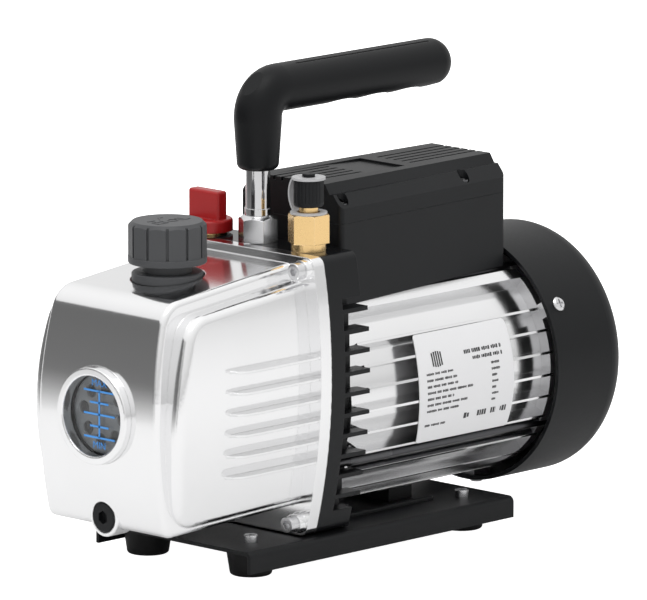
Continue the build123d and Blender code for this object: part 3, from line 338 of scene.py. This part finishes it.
finishes = {
    "polished_aluminium": metal({"colour": (0.93, 0.93, 0.935), "rough": 0.13, "bump": 0.02,
                                 "wideScale": 18.0, "round": 0.0009}),
    "extruded_aluminium": metal({"colour": (0.88, 0.88, 0.885), "rough": 0.16, "stretch": (0.02, 1, 1),
                                 "fineScale": 900.0, "bump": 0.05, "round": 0.0003}),
    "cast_aluminium": metal({"colour": (0.62, 0.62, 0.63), "rough": 0.38, "bump": 0.2, "fineScale": 900.0}),
    "zinc_steel": metal({"colour": (0.72, 0.72, 0.73), "rough": 0.26, "bump": 0.06}),
    "satin_chrome": metal({"colour": (0.70, 0.70, 0.71), "rough": 0.20, "bump": 0.03, "round": 0.0006}),
    "chrome": metal({"colour": (0.66, 0.66, 0.665), "rough": 0.07, "roughSpread": 0.02, "bump": 0.005}),
    "brass": metal({"colour": (0.97, 0.67, 0.31), "rough": 0.27, "deep": 0.93, "bump": 0.04}),
    "steel": metal({"colour": (0.56, 0.56, 0.57), "rough": 0.26, "stretch": (1, 6, 6), "bump": 0.06}),
    "lamination_steel": metal({"colour": (0.34, 0.34, 0.36), "rough": 0.42, "stretch": (8, 0.2, 0.2),
                               "fineScale": 300.0, "bump": 0.3}),
    "cast_iron": metal({"colour": (0.22, 0.22, 0.23), "rough": 0.45, "bump": 0.25, "fineScale": 800.0}),
    "copper_winding": metal({"colour": (0.62, 0.26, 0.12), "rough": 0.32, "stretch": (1, 1, 6), "bump": 0.5,
                             "fineScale": 500.0}),
    "black_steel": metal({"colour": (0.09, 0.09, 0.095), "rough": 0.3, "bump": 0.06}),
    "black_powder_coat": moulded({"colour": (0.0062, 0.0068, 0.0078), "rough": 0.42, "bump": 0.14,
                                  "fineScale": 1100.0, "gloss": 0.21, "wear": 0.3}),
    "bracket_paint": moulded({"colour": (0.0062, 0.0068, 0.0078), "rough": 0.38, "bump": 0.12, "gloss": 0.24,
                              "fineScale": 1100.0, "wear": 0.3, "groundAbove": 0.1603, "groundRough": 0.07}),
    "grip_rubber": moulded({"colour": (0.0048, 0.0053, 0.0062), "rough": 0.42, "bump": 0.12, "round": 0.0008,
                            "gloss": 0.20, "wear": 0.2}),
    "black_rubber": moulded({"colour": (0.005, 0.005, 0.0055), "rough": 0.5, "bump": 0.15, "round": 0.0008,
                             "gloss": 0.25, "wear": 0.2}),
    "gasket_fibre": moulded({"colour": (0.03, 0.03, 0.03), "rough": 0.8, "bump": 0.3}),
    "grey_plastic": moulded({"colour": (0.072, 0.074, 0.078), "rough": 0.45, "wear": 0.5, "gloss": 0.35}),
    "baffle_grey": moulded({"colour": (0.34, 0.342, 0.35), "rough": 0.5, "wear": 0.3}),
    "black_plastic": moulded({"colour": (0.0088, 0.0096, 0.0108), "rough": 0.45, "bump": 0.16, "wear": 0.4,
                              "gloss": 0.23}),
    "tether_plastic": moulded({"colour": (0.52, 0.52, 0.53), "rough": 0.4, "wear": 0.1}),
    "red_plastic": moulded({"colour": (0.42, 0.010, 0.011), "rough": 0.33, "bump": 0.05, "deep": 0.92,
                            "worn": (0.5, 0.05, 0.05), "round": 0.0009}),
    "vane_composite": moulded({"colour": (0.12, 0.07, 0.04), "rough": 0.6, "bump": 0.3}),
    "spider_rubber": moulded({"colour": (0.4, 0.04, 0.03), "rough": 0.55}),
    "label_white": moulded({"colour": (0.80, 0.80, 0.81), "rough": 0.35, "wear": 0.1, "bump": 0.02,
                            "deep": 0.97}),
    "label_ink": moulded({"colour": (0.03, 0.03, 0.032), "rough": 0.5, "wear": 0.0, "bump": 0.02}),
    "scale_blue": moulded({"colour": (0.08, 0.38, 0.95), "rough": 0.4, "wear": 0.0, "bump": 0.02}),
    "clear_glass": clearPane({"colour": (0.90, 0.93, 0.95)}),
}
materials = {name: makeFinish(name, draw) for name, draw in finishes.items()}
ownFinish = {                      # nodes whose look differs from their slot's
    "motor_housing": "extruded_aluminium", "handle_nut": "satin_chrome", "pump_bracket": "bracket_paint",
    "handle_grip": "grip_rubber", "oil_baffle": "baffle_grey",
}
for row in frame["record"]["subparts"]:
    name = ownFinish.get(row["node"], row["material_slot"])
    places = nodes[row["node"]].data.materials
    places.clear()
    places.append(materials[name])
print("finishes on the nodes")


# ---- small pieces added to the nodes
def addPiece(name, shape, finish, body):
    bmesh.ops.recalc_face_normals(shape, faces=shape.faces)
    mesh = bpy.data.meshes.new(name)
    shape.to_mesh(mesh)
    shape.free()
    mesh.materials.append(materials[finish])
    piece = bpy.data.objects.new(name, mesh)
    bpy.context.scene.collection.objects.link(piece)
    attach(piece, body)
    return piece


def bar(shape, centre, size, turn=0.0, axis="Z"):
    # a slim block added to a growing shape
    place = Matrix.Translation(Vector(centre) * mm) @ Matrix.Rotation(radians(turn), 4, axis)
    bmesh.ops.create_cube(shape, size=1.0, matrix=place @ Matrix.Diagonal((*(Vector(size) * mm), 1.0)))


def lettering(shape, text, height, depth, place):
    # plain capital letters, made a mesh and set into a growing shape
    curve = bpy.data.curves.new("letters", "FONT")
    curve.body, curve.size, curve.extrude = text, height * mm / 0.72, depth * mm / 2
    curve.align_x, curve.align_y, curve.resolution_u = "CENTER", "CENTER", 3
    holder = bpy.data.objects.new("letters", curve)
    bpy.context.scene.collection.objects.link(holder)
    bpy.context.view_layer.update()
    mesh = bpy.data.meshes.new_from_object(holder)
    mesh.transform(place)
    shape.from_mesh(mesh)
    bpy.data.objects.remove(holder)
    bpy.data.curves.remove(curve)
    bpy.data.meshes.remove(mesh)


levelScale = {
    "face": -158.12, "middle": 87.0, "thick": 0.14, "line": 1.1,
    "longTicks": (75.1, 87.0, 98.9), "longHalf": 11.0,
    "shortTicks": (80.8, 92.9), "shortHalf": 6.6,
    "words": (("MAX", 102.9), ("MIN", 71.1)), "wordHeight": 3.7,
}


def drawLevelScale(look):
    shape = bmesh.new()
    bar(shape, (look["face"], 0, look["middle"]), (look["thick"], look["line"], 23.8))
    for ticks, half in ((look["longTicks"], look["longHalf"]), (look["shortTicks"], look["shortHalf"])):
        for height in ticks:
            bar(shape, (look["face"], 0, height), (look["thick"], 2 * half, look["line"]))
    upright = Matrix(((0, 0, -1), (-1, 0, 0), (0, 1, 0))).to_4x4()      # letters face -X, read from the front
    for word, height in look["words"]:
        place = Matrix.Translation(Vector((look["face"], 0, height)) * mm) @ upright
        lettering(shape, word, look["wordHeight"], look["thick"], place)
    addPiece("levelScale", shape, "scale_blue", "pump")


drawLevelScale(levelScale)

capMark = {
    "top": 179.95, "centre": (-109.5, 0.0), "rise": 0.3,
    "word": "OIL", "letters": 6.2, "wordAt": (4.6, -2.6),
    # an oil can's outline: each stroke's centre from the cap's, its length, width and turn
    "strokes": ((-8.2, -1.2, 7.0, 0.8, 0), (-8.2, -5.2, 7.0, 0.8, 0), (-11.6, -3.2, 0.8, 4.6, 0),
                (-4.8, -3.2, 0.8, 4.6, 0), (-1.9, 3.4, 9.2, 0.8, 52), (1.9, 7.2, 3.0, 0.8, -10),
                (-8.2, 1.2, 0.8, 4.2, 0), (-8.2, 3.4, 5.0, 0.8, 0)),
}


def drawCapMark(look):
    shape = bmesh.new()
    x, y = look["centre"]
    top = look["top"]
    wordX, wordY = look["wordAt"]
    place = Matrix.Translation(Vector((x + wordX, y + wordY, top)) * mm)
    lettering(shape, look["word"], look["letters"], look["rise"], place)
    for dx, dy, long, wide, turn in look["strokes"]:
        bar(shape, (x + dx, y + dy, top), (long, wide, look["rise"]), turn)
    addPiece("capMark", shape, "grey_plastic", "filler_cap")


drawCapMark(capMark)

labelPrint = {
    "radius": 60.56, "thick": 0.05, "left": 17.5, "seed": 11,
    "heading": ((98.2, 47.0, 74.5, 2.0), (94.6, 52.5, 74.5, 2.0)),
    "rows": [90.4 - 3.2 * n for n in range(7)], "rowHeight": 1.25,
    "rowEnds": (37, 41, 40, 51, 37, 47, 41), "values": 65.5,
    "footLine": (15.0, 63.6),
    "signs": ((46.0, 4.0), (56.0, 6.5), (66.0, 3.5), (73.0, 5.5)), "signRow": (65.2, 3.0),
    "emblemAt": (23.0, 97.4), "emblemBar": 0.9,
    "emblemBars": ((0, 7.0), (1.6, 7.8), (3.2, 8.2), (4.8, 7.8), (6.4, 7.0)),
}


def drawLabelPrint(look):
    # rows of short strokes that stand for small print, laid on the label's curve
    shape, draw = bmesh.new(), random.Random(look["seed"])

    def stroke(left, right, height, tall):
        lean = atan2(height - shaftZ, (look["radius"] ** 2 - (height - shaftZ) ** 2) ** 0.5)
        y, z = -look["radius"] * cos(lean), shaftZ + look["radius"] * sin(lean)
        place = Matrix.Translation(Vector(((left + right) / 2, y, z)) * mm) @ Matrix.Rotation(-lean, 4, "X")
        size = Vector((right - left, look["thick"], tall)) * mm
        bmesh.ops.create_cube(shape, size=1.0, matrix=place @ Matrix.Diagonal((*size, 1.0)))

    def row(left, right, height, tall):
        at = left
        while at < right - 0.6:
            word = min(draw.uniform(2.2, 7.0), right - at)
            letter = at
            while letter < at + word:
                wide = draw.uniform(0.35, 0.8) * tall / 1.25
                stroke(letter, min(letter + wide, right), height, tall * draw.choice((0.75, 1.0, 1.0)))
                letter += wide + 0.22 * tall / 1.25
            at = letter + 0.9
    for height, left, right, tall in look["heading"]:
        row(left, right, height, tall)
    for height, end in zip(look["rows"], look["rowEnds"]):
        row(look["left"], end, height, look["rowHeight"])
        row(look["values"], look["values"] + draw.uniform(2.5, 7.0), height, look["rowHeight"])
    long, height = look["footLine"]
    row(look["left"], look["left"] + long, height, look["rowHeight"])
    for left, wide in look["signs"]:
        row(left, left + wide, *look["signRow"])
    emblem, height = look["emblemAt"]
    for dx, tall in look["emblemBars"]:
        stroke(emblem + dx, emblem + look["emblemBar"] + dx, height, tall)
    addPiece("labelPrint", shape, "label_ink", "pump")


drawLabelPrint(labelPrint)

threads = {
    "rodRadius": 2.5, "rodCrest": 0.22, "rodPitch": 0.8, "rodFrom": -28.5, "rodTo": 2.0, "rodCircle": 56.0,
    "rodAngles": (62, 118, 211.3, 328.7),
    "flareRadius": 5.55, "flareCrest": 0.13, "flarePitch": 1.27, "flareFrom": 184.2, "flareTo": 192.2,
    "flareX": -44.5, "flareY": -36.0,
}


def threadRings(shape, start, way, length, radius, crest, pitch):
    # a row of sharp-crested rings along a shank
    turned = Vector((0, 0, 1)).rotation_difference(Vector(way)).to_matrix().to_4x4()
    for n in range(int(length / pitch)):
        for flip in (1, -1):
            middle = Vector(start) + Vector(way) * (n + 0.5 - 0.25 * flip) * pitch
            place = Matrix.Translation(middle * mm) @ turned
            foot, tip = (radius - 0.02) * mm, (radius + crest) * mm
            bmesh.ops.create_cone(shape, segments=20, cap_ends=False, depth=pitch / 2 * mm, matrix=place,
                                  radius1=foot if flip > 0 else tip, radius2=tip if flip > 0 else foot)


def cutThreads(look):
    shape = bmesh.new()
    for angle in look["rodAngles"]:
        start = (look["rodFrom"], look["rodCircle"] * cos(radians(angle)),
                 shaftZ + look["rodCircle"] * sin(radians(angle)))
        threadRings(shape, start, (1, 0, 0), look["rodTo"] - look["rodFrom"],
                    look["rodRadius"], look["rodCrest"], look["rodPitch"])
    bmesh.ops.remove_doubles(shape, verts=shape.verts, dist=1e-6)
    addPiece("rodThreads", shape, "black_steel", "pump")
    shape = bmesh.new()
    threadRings(shape, (look["flareX"], look["flareY"], look["flareFrom"]), (0, 0, 1),
                look["flareTo"] - look["flareFrom"],
                look["flareRadius"], look["flareCrest"], look["flarePitch"])
    bmesh.ops.remove_doubles(shape, verts=shape.verts, dist=1e-6)
    addPiece("flareThreads", shape, "brass", "pump")


cutThreads(threads)
print("small pieces added")
